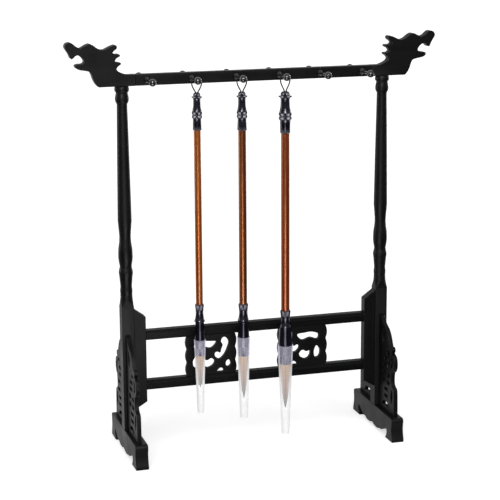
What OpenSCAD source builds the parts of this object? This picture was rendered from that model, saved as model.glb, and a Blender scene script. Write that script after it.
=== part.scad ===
// Brush rack with dragon-head ends, twelve pegs and three hanging brushes
// Millimetres: it stands on z = 0, the front faces -Y and the bar runs along X

/* [Top bar] */
// Distance between the axes of the two posts
post_spacing = 247.8; // [200:0.1:320]
// Height of the underside of the bar above the table
bar_z = 343; // [330:1:400]
// Height of the bar
bar_h = 10.2; // [8:0.1:14]
// Front to back thickness of the bar and its carved ends
bar_t = 9; // [8:0.1:12]
// Reach of a carved end, outward from the post axis
head_reach = 50.8; // [46:0.1:56]
// Height of a carved end above the underside of the bar
head_rise = 40.3; // [38:0.1:44]

/* [Feet] */
// Length of a foot, front to back
foot_len = 106.6; // [100:0.1:140]
// Width of a foot
foot_w = 12; // [11:0.1:18]
// Height of a foot
foot_h = 23; // [20:0.5:28]

/* [Posts] */
// Side of the square block of a post
block_w = 11.6; // [11:0.1:14]
// Diameter of the tapered shaft at its lower end
shaft_d = 12.8; // [11:0.1:15]
// Diameter of the tapered shaft at its upper end
shaft_top_d = 9.4; // [8:0.1:12]
// Diameter of the turned vase below the shaft
vase_d = 13.3; // [11:0.1:16]

/* [Rails and panels] */
// Height of the underside of the lower rail
lower_rail_z = 59.6; // [50:0.1:70]
// Height of the underside of the upper rail
upper_rail_z = 107.4; // [95:0.1:112]
// Height of a rail
rail_h = 9.2; // [8:0.1:12]
// Front to back thickness of rails and stiles
rail_t = 9; // [8:0.1:11]
// Width of a stile
stile_w = 11; // [9:0.1:16]
// Width of a carved panel
panel_w = 49.4; // [44:0.1:60]
// Thickness of a carved panel
panel_t = 4; // [3:0.1:6]
// Gap between the two carved panels
middle_gap = 40.6; // [30:0.1:60]

/* [Brackets] */
// Thickness of a carved bracket
bracket_t = 4; // [3:0.1:5]
// Distance from the post axis to the bracket's foot end
bracket_reach = 45.6; // [42:0.1:48]
// Height of the bracket's upper end above the table
bracket_top = 114; // [105:0.5:125]

/* [Pegs] */
// Pegs in a row
peg_count = 6; // [4:1:8]
// Distance from a post axis to the nearest peg
peg_margin = 21.9; // [20:0.1:30]
// Length of a peg outside the bar
peg_len = 26.5; // [25:0.1:32]
// Diameter of a peg's stem
stem_d = 2.6; // [2.2:0.1:3]
// Diameter of a peg's knob
knob_d = 6.8; // [6:0.1:8]

/* [Small brush] */
// Peg that holds the small brush
small_peg = 2; // [1:1:6]
// From the peg's axis down to the top of the brush
small_drop = 10.2; // [10:0.1:18]
// Diameter and length of the finial
small_finial_d = 10; // [8:0.1:14]
small_finial_len = 34.7; // [30:0.1:42]
// Diameter and length of the handle
small_handle_d = 6.4; // [5:0.1:9]
small_handle_len = 160; // [120:0.1:168]
// Length of the ferrule, and how much of it the cap covers
small_ferrule_len = 48.7; // [40:0.1:60]
small_cap_overlap = 14.6; // [10:0.1:20]
// Length of the hair
small_tuft_len = 31; // [20:0.5:50]
// Diameters and length of the cap
small_cap_d = 10.8; // [10:0.1:16]
small_cap_end_d = 6; // [5:0.1:9]
small_cap_len = 70; // [60:0.5:90]

/* [Medium brush] */
// Peg that holds the medium brush
medium_peg = 3; // [1:1:6]
// From the peg's axis down to the top of the brush
medium_drop = 11.1; // [10:0.1:18]
// Diameter and length of the finial
medium_finial_d = 10.4; // [8:0.1:14]
medium_finial_len = 35.9; // [30:0.1:42]
// Diameter and length of the handle
medium_handle_d = 7.2; // [5:0.1:9]
medium_handle_len = 160.8; // [120:0.1:168]
// Length of the ferrule, and how much of it the cap covers
medium_ferrule_len = 49.6; // [40:0.1:60]
medium_cap_overlap = 17.7; // [10:0.1:20]
// Length of the hair
medium_tuft_len = 41.5; // [20:0.5:50]
// Diameters and length of the cap
medium_cap_d = 12.4; // [10:0.1:16]
medium_cap_end_d = 7.4; // [5:0.1:9]
medium_cap_len = 78; // [60:0.5:90]

/* [Large brush] */
// Peg that holds the large brush
large_peg = 4; // [1:1:6]
// From the peg's axis down to the top of the brush
large_drop = 12.8; // [10:0.1:18]
// Diameter and length of the finial
large_finial_d = 12.8; // [8:0.1:14]
large_finial_len = 38.8; // [30:0.1:42]
// Diameter and length of the handle
large_handle_d = 7.8; // [5:0.1:9]
large_handle_len = 165.9; // [120:0.1:168]
// Length of the ferrule, and how much of it the cap covers
large_ferrule_len = 51.5; // [40:0.1:60]
large_cap_overlap = 17.7; // [10:0.1:20]
// Length of the hair
large_tuft_len = 43.5; // [20:0.5:50]
// Diameters and length of the cap
large_cap_d = 14.4; // [10:0.1:16]
large_cap_end_d = 7.4; // [5:0.1:9]
large_cap_len = 86.5; // [60:0.5:90]

/* [Hidden] */
$fn = 64;
// Clearance on each side of a tenon, tongue or dowel
fit = 0.1;
// Extra length of a cutting shape past a face
past = 1;

// Posts and the parts that hang from them
post_x = post_spacing / 2;
peg_z = bar_z + bar_h / 2;
post_tenon_w = 7;
post_tenon_h = 15;
top_tenon_d = 6;
top_tenon_h = 7;
stile_above = 21.4;
stile_below = 17.6;
stile_top_slope = 8;
stile_bottom_slope = 6.5;
stile_top = upper_rail_z + rail_h + stile_above;
stile_bottom = lower_rail_z - stile_below;
block_above = 2;
block_top = stile_top + block_above;
flare_h = 11;
stile_x = post_x - block_w / 2;
stile_inner_x = stile_x - stile_w;

// Dowels between stiles and posts
dowel_d = 4;
dowel_len = 10;
dowel_off_rail = 6.5;
dowel_heights = [lower_rail_z - dowel_off_rail, upper_rail_z + rail_h + dowel_off_rail];

// Rails and panels
rail_tenon_len = 6;
rail_tenon_h = 5;
rail_tenon_t = 4;
rail_edge = 0.9;
quirk_drop = 2;
quirk_depth = 0.6;
panel_h = upper_rail_z - lower_rail_z - rail_h;
panel_z = lower_rail_z + rail_h;
panel_inner_x = middle_gap / 2;
panel_outer_x = panel_inner_x + panel_w;
panel_set_back = 0.5;
panel_y = panel_set_back - (rail_t - panel_t) / 2;
tongue_h = 2;
tongue_t = 2;
tongue_inset = 4;
tongue_w = panel_w - 2 * tongue_inset;
scallops = 3;
scallop_depth = 1.4;
scallop_steps = 6;

// Bracket tongues in the posts and feet, and how far outward of the post axis the brackets stand
bracket_tongue = 2;
bracket_out = 0.6;

// Joint between the bar and its carved ends, measured inward from the post axis
head_joint = 12;
bar_half = post_x - head_joint;
bar_tenon_len = 7;
bar_tenon_h = 5;
bar_tenon_t = 4;

// Pegs
peg_pitch = (post_spacing - 2 * peg_margin) / (peg_count - 1);
// Pegs are drilled by hand: how far each stands to the right of an even spacing
peg_drift = [0, 0.4, 1.4, 1.4];
peg_tenon_d = 3.6;
peg_tenon_len = 3.8;
peg_hole_len = 4;
peg_collar_len = 3.6;
knob_len = 7.4;
// The loops hang just behind the knobs
loop_to_knob = 1;
loop_y = bar_t / 2 + peg_len - knob_len - loop_to_knob;

// Brush parts
brush_names = ["small_brush", "medium_brush", "large_brush"];
brushes = [
    [small_peg, small_drop, small_finial_d, small_finial_len, small_handle_d, small_handle_len,
        small_ferrule_len, small_tuft_len, small_cap_d, small_cap_end_d, small_cap_len,
        small_cap_overlap],
    [medium_peg, medium_drop, medium_finial_d, medium_finial_len, medium_handle_d, medium_handle_len,
        medium_ferrule_len, medium_tuft_len, medium_cap_d, medium_cap_end_d, medium_cap_len,
        medium_cap_overlap],
    [large_peg, large_drop, large_finial_d, large_finial_len, large_handle_d, large_handle_len,
        large_ferrule_len, large_tuft_len, large_cap_d, large_cap_end_d, large_cap_len,
        large_cap_overlap]
];
function peg_of(b) = b[0];
function drop(b) = b[1];
function finial_d(b) = b[2];
function finial_len(b) = b[3];
function handle_d(b) = b[4];
function handle_len(b) = b[5];
function ferrule_len(b) = b[6];
function tuft_len(b) = b[7];
function cap_d(b) = b[8];
function cap_end_d(b) = b[9];
function cap_len(b) = b[10];
function cap_overlap(b) = b[11];
finial_lip = 0.8;
ferrule_lip = 0.7;
ferrule_ring = 16;
ferrule_ring_base = 2.9;
cap_wall = 0.7;
handle_tenon_len = 8;
handle_tenon_part = 0.6;
socket_depth = 8;
socket_wall = 0.45;
cord_hole_d = 3.8;
cord_hole_depth = 4.5;

// Hanging loop: right half from its end to its top, across and up from the peg's axis
cord_d = 1.2;
cord_sides = 8;
loop_half = [
    [0.7, -15.5], [0.7, -13], [0.9, -11.6], [1.5, -10.2], [2.3, -8.8], [3.1, -7.3], [3.8, -5.8],
    [4.3, -4.2], [4.5, -2.5], [4.4, -0.9], [4, 0.4], [3.1, 1.4], [1.7, 2]
];
loop_top = [0, 2.2];
loop_widest = -2.5;

// Hair: strands on a sunflower spiral that draw together toward the tip
strand_count = 110;
strand_levels = [0, 0.4, 0.75, 1];
strand_spread = [1, 0.7, 0.37, 0.1];
strand_sides = 3;
strand_part = 0.68;
strand_sink = 0.6;
golden_angle = 137.508;

// Colours
lacquer = "#19191b";
gloss_black = "#0d0d0e";
horn = "#14121c";
cord_black = "#101010";
hair = "#bfa788";
clear = "#b9b8c6";
pine = "#c8a878";
handle_colours = ["#a05f30", "#6b3210", "#6b2513"];

// Point on a smooth curve from b to c, with a before and d after
function curve_point(a, b, c, d, t) =
    0.5 * (2 * b + (c - a) * t + (2 * a - 5 * b + 4 * c - d) * t * t
        + (3 * b - a - 3 * c + d) * t * t * t);

// Smooth closed outline through the points p
function closed_curve(p, steps = 4) =
    let (n = len(p))
    [for (i = [0 : n - 1], s = [0 : steps - 1])
        curve_point(p[(i + n - 1) % n], p[i], p[(i + 1) % n], p[(i + 2) % n], s / steps)];

// Smooth open run through the points p, without its last point
function open_curve(p, steps = 3) =
    let (n = len(p) - 1)
    [for (i = [0 : n - 1], s = [0 : steps - 1])
        curve_point(p[max(i - 1, 0)], p[i], p[i + 1], p[min(i + 2, n)], s / steps)];

function mirrored(p) = [for (i = [len(p) - 1 : -1 : 0]) [-p[i][0], p[i][1]]];

function peg_x(i) =
    -post_x + peg_margin + (i - 1) * peg_pitch + (i <= len(peg_drift) ? peg_drift[i - 1] : 0);

// Stands a drawing of across and up in the XZ plane, with thickness t along Y
module upright(t) {
    rotate([90, 0, 0])
        translate([0, 0, -t / 2])
            linear_extrude(t)
                children();
}

// Stands a drawing of front distance and up in the YZ plane, with thickness t along X
module sideways(t) {
    rotate([90, 0, -90])
        translate([0, 0, -t / 2])
            linear_extrude(t)
                children();
}

module box_at(centre, size) {
    translate(centre)
        cube(size, center = true);
}

// Height of a foot as it was drawn, and the length of the pad at its end
drawn_foot_h = 23;
foot_pad = 18.8;

// Underside, pad and end of half a foot, from the middle of the foot outward
function foot_half() =
    let (e = foot_len / 2, a = e - foot_pad, h = foot_h / drawn_foot_h)
    concat(
        open_curve([[0, 4.3 * h], [0.15 * a, 2.7 * h], [0.32 * a, 2.1 * h], [0.45 * a, 2.6 * h],
            [0.54 * a, 4 * h]]),
        open_curve([[0.54 * a, 4 * h], [0.65 * a, 3.9 * h], [0.77 * a, 5.2 * h], [0.9 * a, 7.6 * h],
            [1.01 * a, 9.8 * h], [1.07 * a, 10.2 * h]]),
        open_curve([[1.07 * a, 10.2 * h], [a + 3.8, 7.5 * h], [a + 3.6, 5 * h], [a + 2, 2.2 * h], [a, 0]]),
        [[a, 0]],
        open_curve([[e, 0], [e, 2.5 * h], [e - 1.1, 6 * h], [e - 2.2, 11 * h], [e - 2, 16 * h],
            [e - 1.3, 19.3 * h], [e - 1.8, 21.7 * h], [e - 3.4, 22.8 * h], [e - 5.3, foot_h]]),
        [[e - 5.3, foot_h]]
    );

module foot(side) {
    color(lacquer)
        difference() {
            translate([side * post_x, 0, 0])
                sideways(foot_w)
                    polygon(concat(foot_half(), mirrored(foot_half())));
            box_at([side * post_x, 0, foot_h - post_tenon_h / 2 + past / 2],
                [post_tenon_w + 2 * fit, post_tenon_w + 2 * fit, post_tenon_h + past + 2 * fit]);
            for (front = [-1, 1])
                foot_groove(side, front);
        }
}

// Groove on top of a foot for the tongue of one bracket
module foot_groove(side, front) {
    from = block_w / 2 - bracket_tongue - fit;
    to = bracket_reach + fit;
    box_at([side * (post_x + bracket_out), front * (from + to) / 2, foot_h - bracket_tongue / 2 + past / 2],
        [bracket_t + 2 * fit, to - from, bracket_tongue + past + 2 * fit]);
}

// Height of the turning as it was drawn
drawn_turning_h = 192;

// Half outline of the turned part of a post, above the square block
function post_turning() =
    let (z = block_top + flare_h, v = vase_d / 2, s = shaft_d / 2, t = shaft_top_d / 2, n = drawn_turning_h,
        k = (bar_z - z) / n)
    [for (p = concat(
        open_curve([[0.81 * v, 0], [0.86 * v, 4.7], [0.8 * v, 8.5], [0.88 * v, 15], [0.91 * v, 18]]),
        open_curve([[0.91 * v, 18], [0.985 * v, 21.5], [0.91 * v, 24.5]]),
        open_curve([[0.91 * v, 24.5], [0.83 * v, 27.4], [0.94 * v, 32], [v, 36.5], [0.965 * v, 43.5],
            [0.86 * v, 48]]),
        open_curve([[0.86 * v, 48], [0.79 * v, 55], [0.9 * v, 65], [s, 70]]),
        open_curve([[s, 70], [0.6 * s + 0.4 * t, n - 75], [t, n - 16]], 6),
        open_curve([[t, n - 16], [t + 1.3, n - 13.5], [t + 1.5, n - 10.5], [t + 0.7, n - 6.5]]),
        [[t + 0.7, n - 6.5], [t + 0.7, n - 5.4]],
        open_curve([[t + 0.7, n - 5.4], [t + 1.7, n - 4.4], [t + 1.9, n - 2.4], [t + 1.4, n]]),
        [[t + 1.4, n]]
    )) [p[0], z + p[1] * k]];

// Curve that cuts the corners of the block where it meets the turning
function block_flare() =
    open_curve([[0.72 * block_w, block_top - 0.2], [0.63 * block_w, block_top + 1.6],
        [0.52 * block_w, block_top + 5.5], [0.41 * vase_d, block_top + flare_h]]);

module post(side) {
    color(lacquer)
        translate([side * post_x, 0, 0])
            difference() {
                union() {
                    post_block();
                    rotate_extrude()
                        polygon(concat([[0, block_top + flare_h]], post_turning(), [[0, bar_z]]));
                    translate([0, 0, bar_z - past])
                        cylinder(d = top_tenon_d, h = top_tenon_h + past);
                    box_at([0, 0, foot_h - post_tenon_h / 2 + past / 2],
                        [post_tenon_w, post_tenon_w, post_tenon_h + past]);
                }
                for (front = [-1, 1])
                    post_groove(side, front);
                for (z = dowel_heights)
                    dowel_hole(side, z);
            }
}

module post_block() {
    top = block_top + flare_h;
    intersection() {
        box_at([0, 0, (foot_h + top) / 2], [block_w, block_w, top - foot_h]);
        rotate_extrude()
            polygon(concat([[0, foot_h - past], [0.72 * block_w, foot_h - past]], block_flare(),
                [[0.41 * vase_d, top], [0.41 * vase_d, top + past], [0, top + past]]));
    }
}

// Groove in a post for the tongue of one bracket
module post_groove(side, front) {
    y = front * (block_w / 2 - bracket_tongue / 2 + past / 2);
    box_at([side * bracket_out, y, (foot_h + bracket_top) / 2],
        [bracket_t + 2 * fit, bracket_tongue + past + 2 * fit, bracket_top - foot_h + 2 * fit]);
}

// Dowel hole in the inner face of a post
module dowel_hole(side, z) {
    translate([-side * block_w / 2, 0, z])
        rotate([0, 90, 0])
            cylinder(d = dowel_d + 2 * fit, h = dowel_len + 2 * fit, center = true);
}

// Reach and height of a bracket as it was drawn, above the foot
drawn_bracket = [47.6, 91];

// Places points drawn on a bracket, as distance from the post axis and height above the foot
function on_bracket(points) =
    [for (p = points) [p[0] * bracket_reach / drawn_bracket[0],
        foot_h + p[1] * (bracket_top - foot_h) / drawn_bracket[1]]];

// Outline of a bracket from its upper end to its foot
bracket_outline = concat(
    open_curve([[5.8, 91], [9, 90], [15.3, 84.5], [24, 80], [29, 75], [32.5, 69], [34.6, 65.6]]),
    open_curve([[34.6, 65.6], [37, 66.3], [39.5, 65], [39.7, 62], [38, 60]]),
    open_curve([[38, 60], [41, 59.2], [44.5, 57], [46, 53], [46, 48], [43.5, 43.5], [40.2, 42]]),
    open_curve([[40.2, 42], [39, 37], [39.2, 31], [42, 28]]),
    open_curve([[42, 28], [45.5, 26.5], [46.8, 22], [47.3, 12], [47.6, 0]]),
    [[47.6, 0]]
);

// Scrolled openings of a bracket
bracket_openings = [
    [[14.2, 77], [18, 77.6], [20.6, 73.5], [20.4, 67.5], [17, 65.4], [14.4, 68]],
    [[36, 56.5], [40, 55], [42, 51], [40.5, 46.8], [36.5, 45.6], [38.4, 50]],
    [[40.6, 25], [42.8, 21.5], [42.4, 14.5], [40.2, 10.6], [38, 14], [38.4, 21]],
    [[16, 4], [17.5, 7.6], [24.5, 9], [31.5, 7.6], [33.4, 4], [28, 5], [24.5, 5.6], [21, 5]]
];

// Level slots of a bracket's fretwork: near end, far end, middle height and width
bracket_slots = [
    [26.6, 34.2, 58.6, 2.8], [19.2, 30.4, 51.6, 3.2], [17.6, 29.4, 45, 3.2],
    [14.6, 23.8, 37.4, 3.8], [27.6, 35.6, 36.8, 3.4], [13.8, 23.4, 29.4, 3.8], [26.4, 35.6, 29.2, 3.4],
    [20.6, 33, 21.6, 3], [20.6, 33, 14.8, 3]
];

// Outline of a slot with round ends
function slot_outline(s) =
    let (r = s[3] / 2)
    concat(
        [for (a = [-90 : 30 : 90]) [s[1] - r + r * cos(a), s[2] + r * sin(a)]],
        [for (a = [90 : 30 : 270]) [s[0] + r + r * cos(a), s[2] + r * sin(a)]]
    );

module bracket(side, front) {
    inner = block_w / 2 - bracket_tongue;
    low = foot_h - bracket_tongue;
    color(lacquer)
        translate([side * (post_x + bracket_out), 0, 0])
            mirror([0, front > 0 ? 1 : 0, 0])
                sideways(bracket_t)
                    difference() {
                        polygon(concat([[inner, bracket_top]], on_bracket(bracket_outline),
                            [[bracket_reach, low], [inner, low]]));
                        for (opening = bracket_openings)
                            polygon(closed_curve(on_bracket(opening)));
                        for (slot = bracket_slots)
                            polygon(on_bracket(slot_outline(slot)));
                    }
}

module stile(side) {
    color(lacquer)
        difference() {
            upright(rail_t)
                polygon([
                    [side * stile_x, stile_bottom],
                    [side * stile_x, stile_top],
                    [side * stile_inner_x, stile_top - stile_top_slope],
                    [side * stile_inner_x, stile_bottom + stile_bottom_slope]
                ]);
            for (z = [lower_rail_z, upper_rail_z])
                box_at([side * (stile_inner_x + (rail_tenon_len - past) / 2), 0, z + rail_h / 2],
                    [rail_tenon_len + past + 2 * fit, rail_tenon_t + 2 * fit, rail_tenon_h + 2 * fit]);
            for (z = dowel_heights)
                translate([side * post_x, 0, 0])
                    dowel_hole(side, z);
        }
}

module stile_dowels() {
    color(pine)
        for (side = [-1, 1], z = dowel_heights)
            translate([side * stile_x, 0, z])
                rotate([0, 90, 0])
                    cylinder(d = dowel_d, h = dowel_len, center = true);
}

// Board along X with eased long edges
module eased_board(length, t, h, z) {
    e = rail_edge;
    translate([-length / 2, 0, z])
        rotate([90, 0, 90])
            linear_extrude(length)
                polygon([
                    [-t / 2 + e, 0], [t / 2 - e, 0], [t / 2, e], [t / 2, h - e],
                    [t / 2 - e, h], [-t / 2 + e, h], [-t / 2, h - e], [-t / 2, e]
                ]);
}

// Fine groove along the front or back face of a rail, below its upper edge
module quirk(front, z) {
    y = front * rail_t / 2;
    d = quirk_depth;
    translate([-stile_inner_x, 0, z + rail_h - quirk_drop])
        rotate([90, 0, 90])
            linear_extrude(2 * stile_inner_x)
                polygon([[y - front * d, 0], [y + front * past, d + past], [y + front * past, -d - past]]);
}

// Rail with end tenons and a stopped groove for each panel, on the side that faces the panels
module rail(z, groove_z) {
    color(lacquer)
        difference() {
            union() {
                eased_board(2 * stile_inner_x, rail_t, rail_h, z);
                box_at([0, 0, z + rail_h / 2],
                    [2 * (stile_inner_x + rail_tenon_len), rail_tenon_t, rail_tenon_h]);
            }
            for (side = [-1, 1])
                box_at([side * (panel_inner_x + panel_outer_x) / 2, panel_y, groove_z],
                    [tongue_w + 2 * fit, tongue_t + 2 * fit, 2 * (tongue_h + fit)]);
            for (front = [-1, 1])
                quirk(front, z);
        }
}

module upper_rail() {
    rail(upper_rail_z, upper_rail_z);
}

module lower_rail() {
    rail(lower_rail_z, lower_rail_z + rail_h);
}

// Scalloped side edge of a panel, from bottom to top, as inset and height
panel_edge = [for (i = [0 : scallops * scallop_steps])
    [scallop_depth * (1 - abs(sin(180 * i / scallop_steps))), panel_h * i / (scallops * scallop_steps)]];

// Width and height of a panel as it was drawn
drawn_panel = [49.4, 38.6];

// Scrolled openings of a panel, as distance from its outer edge and height above the lower rail
panel_openings = [
    [[8.7, 30.4], [15.8, 33], [23.5, 32.5], [29.6, 31.8], [28.6, 28.6], [24, 25.6], [16.8, 27.6],
        [9.7, 25.6]],
    [[10.7, 19.2], [7, 14.4], [8.1, 8.5], [12.2, 7.9], [13.2, 13.9]],
    [[28, 12.8], [24.8, 15.8], [20.8, 14.1], [17.1, 14.8], [17.7, 9.4], [21.7, 6.9], [26.6, 9.2]],
    [[38.4, 35.2], [42, 30.1], [39.6, 22.2], [36.6, 17.2], [32.5, 14.4], [28.7, 17.2], [28.3, 20.4],
        [30.6, 21.6], [33.4, 20.4], [34.6, 24.1], [36, 28.2], [34.4, 31], [35.4, 34.4]],
    [[42.2, 12.8], [43.8, 9], [42, 6.4], [39.4, 7.2], [38.8, 10.4], [40.2, 12.6]],
    [[33.9, 5.8], [37, 2.8], [34, 2], [30, 2.5]]
];

module carved_panel(side) {
    w = panel_w / drawn_panel[0];
    k = panel_h / drawn_panel[1];
    color(lacquer)
        mirror([side > 0 ? 1 : 0, 0, 0])
            translate([-panel_outer_x, panel_y, panel_z]) {
                upright(panel_t)
                    difference() {
                        polygon(concat(
                            panel_edge,
                            [for (i = [len(panel_edge) - 1 : -1 : 0])
                                [panel_w - panel_edge[i][0], panel_edge[i][1]]]
                        ));
                        for (opening = panel_openings)
                            polygon(closed_curve([for (p = opening) [p[0] * w, p[1] * k]]));
                    }
                for (z = [0, panel_h])
                    box_at([panel_w / 2, 0, z], [tongue_w, tongue_t, 2 * tongue_h]);
            }
}

module top_bar() {
    color(lacquer)
        difference() {
            union() {
                eased_board(2 * bar_half, bar_t, bar_h, bar_z);
                box_at([0, 0, peg_z], [2 * (bar_half + bar_tenon_len), bar_tenon_t, bar_tenon_h]);
            }
            for (front = [-1, 1], i = [1 : peg_count])
                translate([peg_x(i), front * bar_t / 2, peg_z])
                    rotate([90, 0, 0])
                        cylinder(d = peg_tenon_d + 2 * fit, h = 2 * peg_hole_len, center = true);
        }
}

// Reach and height of a carved end as it was drawn
drawn_head = [50.8, 40.3];

// Neck spikes, brow, snout, mouth and throat of a carved end, outward from the post and up from the bar
head_run = concat(
    open_curve([[-4, 10.2], [0.8, 12], [4, 14], [5, 16]]),
    open_curve([[5, 16], [3.4, 18], [1.2, 19.4], [0.8, 20.6], [2, 21.3], [4.4, 21.4], [6.4, 23]]),
    open_curve([[6.4, 23], [4.6, 25.2], [2, 26.6], [1.6, 28], [3, 28.7], [6, 28.6], [8.4, 30.2]]),
    open_curve([[8.4, 30.2], [6.8, 31.8], [4.5, 33.6], [4.2, 35.6], [6, 36.8], [10.5, 35.4], [16.5, 32.8],
        [21.5, 34.2], [25.5, 37.2], [29, 38.5], [33, 37], [37, 34.7]]),
    open_curve([[37, 34.7], [41, 36.8], [44, 39.4], [46.8, 40.3], [49.8, 39], [50.8, 36], [49, 32.6],
        [47.2, 29.6], [45.7, 26.2], [44.4, 25.6]]),
    open_curve([[44.4, 25.6], [42.8, 27], [41, 28.5], [38.6, 28.7], [36, 26.8], [34, 24], [34.3, 21.9],
        [36.4, 21], [39.5, 20.9], [42, 20]]),
    open_curve([[42, 20], [41.6, 17.9], [38.5, 16], [33, 15], [29, 13.8], [27.3, 11], [26, 7], [24, 3],
        [21.4, 0]]),
    [[21.4, 0]]
);

function head_outline() =
    concat(
        [[-head_joint, bar_h]],
        [for (p = head_run) [p[0] * head_reach / drawn_head[0], p[1] * head_rise / drawn_head[1]]],
        [[-head_joint, 0]]
    );

module dragon_head(side) {
    color(lacquer)
        mirror([side < 0 ? 1 : 0, 0, 0])
            translate([post_x, 0, bar_z])
                difference() {
                    upright(bar_t)
                        polygon(head_outline());
                    box_at([-head_joint + (bar_tenon_len - past) / 2, 0, bar_h / 2],
                        [bar_tenon_len + past + 2 * fit, bar_tenon_t + 2 * fit, bar_tenon_h + 2 * fit]);
                    translate([0, 0, -past])
                        cylinder(d = top_tenon_d + 2 * fit, h = top_tenon_h + past + fit);
                }
}

// Half outline of a peg, as radius and distance from the bar's face
function peg_profile() =
    let (s = stem_d / 2, k = knob_d / 2, l = peg_len, n = knob_len, c = peg_collar_len)
    concat(
        [[0, -peg_tenon_len], [peg_tenon_d / 2, -peg_tenon_len], [peg_tenon_d / 2, 0]],
        open_curve([[2.1 * s, 0], [2.2 * s, 0.33 * c], [1.7 * s, 0.67 * c], [s, c]]),
        open_curve([[s, c], [0.94 * s, 0.4 * l], [s, l - n]]),
        open_curve([[s, l - n], [0.82 * k, l - 0.78 * n], [k, l - 0.52 * n], [0.9 * k, l - 0.25 * n],
            [0.5 * k, l - 0.05 * n], [0, l]]),
        [[0, l]]
    );

module peg(i, front) {
    color(gloss_black)
        translate([peg_x(i), front * bar_t / 2, peg_z])
            rotate([-front * 90, 0, 0])
                rotate_extrude()
                    polygon(peg_profile());
}

// Moves to the top of a hanging brush
module at_brush(b) {
    translate([peg_x(peg_of(b)), -loop_y, peg_z - drop(b)])
        children();
}

// Closed tube of triangles through rings of points, each with the same number of sides
module tube_through(rings, sides) {
    n = len(rings);
    points = [for (ring = rings) each ring];
    walls = [for (i = [0 : n - 2], j = [0 : sides - 1])
        let (k = (j + 1) % sides, a = i * sides, b = a + sides)
        each [[a + j, b + j, b + k], [a + j, b + k, a + k]]];
    start = [for (j = [1 : sides - 2]) [0, j, j + 1]];
    last = (n - 1) * sides;
    end = [for (j = [1 : sides - 2]) [last, last + j + 1, last + j]];
    polyhedron(points, concat(walls, start, end));
}

// Loop of a brush that hangs lower by stretching only below its widest place
function loop_route(b) =
    let (lowest = loop_half[0][1], reach = -drop(b) - cord_hole_depth,
        k = (reach - loop_widest) / (lowest - loop_widest),
        half = [for (p = loop_half)
            [p[0], p[1] > loop_widest ? p[1] : loop_widest + (p[1] - loop_widest) * k]])
    concat(half, [loop_top], mirrored(half));

module brush_loop(b) {
    route = loop_route(b);
    n = len(route) - 1;
    rings = [for (i = [0 : n])
        let (ahead = route[min(i + 1, n)] - route[max(i - 1, 0)], t = ahead / norm(ahead))
        [for (j = [0 : cord_sides - 1])
            let (c = cord_d / 2 * cos(360 * j / cord_sides), s = cord_d / 2 * sin(360 * j / cord_sides))
            [route[i][0] + c * t[1], s, route[i][1] - c * t[0]]]];
    color(cord_black)
        translate([peg_x(peg_of(b)), -loop_y, peg_z])
            tube_through(rings, cord_sides);
}

// Half outline of a finial, as radius and height, from its button down to the handle
function finial_profile(b) =
    let (r = finial_d(b) / 2, l = -finial_len(b), e = handle_d(b) / 2 + finial_lip)
    concat(
        open_curve([[0.3 * r, 0.01 * l], [0.5 * r, 0.03 * l], [0.63 * r, 0.06 * l], [0.66 * r, 0.09 * l],
            [0.6 * r, 0.112 * l]]),
        [[0.6 * r, 0.112 * l], [r, 0.124 * l], [r, 0.132 * l]],
        open_curve([[0.76 * r, 0.155 * l], [0.68 * r, 0.19 * l], [0.655 * r, 0.26 * l], [0.69 * r, 0.37 * l],
            [0.8 * r, 0.457 * l], [0.93 * r, 0.522 * l], [0.93 * r, 0.557 * l], [0.82 * r, 0.592 * l]]),
        open_curve([[0.82 * r, 0.592 * l], [0.93 * r, 0.627 * l], [0.92 * r, 0.667 * l],
            [0.78 * r, 0.697 * l]]),
        open_curve([[0.78 * r, 0.697 * l], [0.73 * r, 0.77 * l], [e, 0.96 * l], [e - 0.2, l]]),
        [[e - 0.2, l]]
    );

module brush_finial(b) {
    l = finial_len(b);
    bore = handle_tenon_part * handle_d(b) + 2 * fit;
    color(horn)
        at_brush(b)
            difference() {
                rotate_extrude()
                    polygon(concat([[0, -0.01 * l]], finial_profile(b), [[0, -l]]));
                translate([0, 0, -cord_hole_depth])
                    cylinder(d = cord_hole_d, h = cord_hole_depth + past);
                translate([0, 0, -l - past])
                    cylinder(d = bore, h = handle_tenon_len + past + fit);
            }
}

module brush_handle(b, colour) {
    tenon = handle_tenon_part * handle_d(b);
    color(colour)
        at_brush(b)
            translate([0, 0, -finial_len(b) - handle_len(b)]) {
                cylinder(d = handle_d(b), h = handle_len(b));
                translate([0, 0, -handle_tenon_len])
                    cylinder(d = tenon, h = handle_len(b) + 2 * handle_tenon_len);
            }
}

function cap_slope(b) = (cap_d(b) - cap_end_d(b)) / 2 / cap_len(b);
function ferrule_seat_r(b) = cap_d(b) / 2 - cap_wall - fit;
function ferrule_end_r(b) = ferrule_seat_r(b) - cap_overlap(b) * cap_slope(b);
function tuft_r(b) = ferrule_end_r(b) - socket_wall;
function ferrule_top(b) = -finial_len(b) - handle_len(b);

// Half outline of a ferrule, as radius and height below its top
function ferrule_profile(b) =
    let (h = handle_d(b) / 2 + ferrule_lip, seat = ferrule_seat_r(b),
        ring = 0.25 * seat + 0.25 * h + ferrule_ring_base, under = 0.9 * seat, q = -ferrule_ring,
        top = cap_overlap(b) - ferrule_len(b))
    concat(
        open_curve([[h - 0.1, 0], [h + 0.2, -0.8], [h + 0.2, -2], [h - 0.05, -3.6], [h - 0.25, -6],
            [h - 0.2, -10], [h + 0.1, q + 3], [ring - 0.2, q + 0.5]]),
        [[ring, q + 0.2], [ring, q - 0.2]],
        open_curve([[under - 0.1, q - 1.2], [under - 0.1, q - 3], [under + 0.3, q - 10], [seat, top]]),
        [[seat, top], [ferrule_end_r(b), -ferrule_len(b)]]
    );

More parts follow.
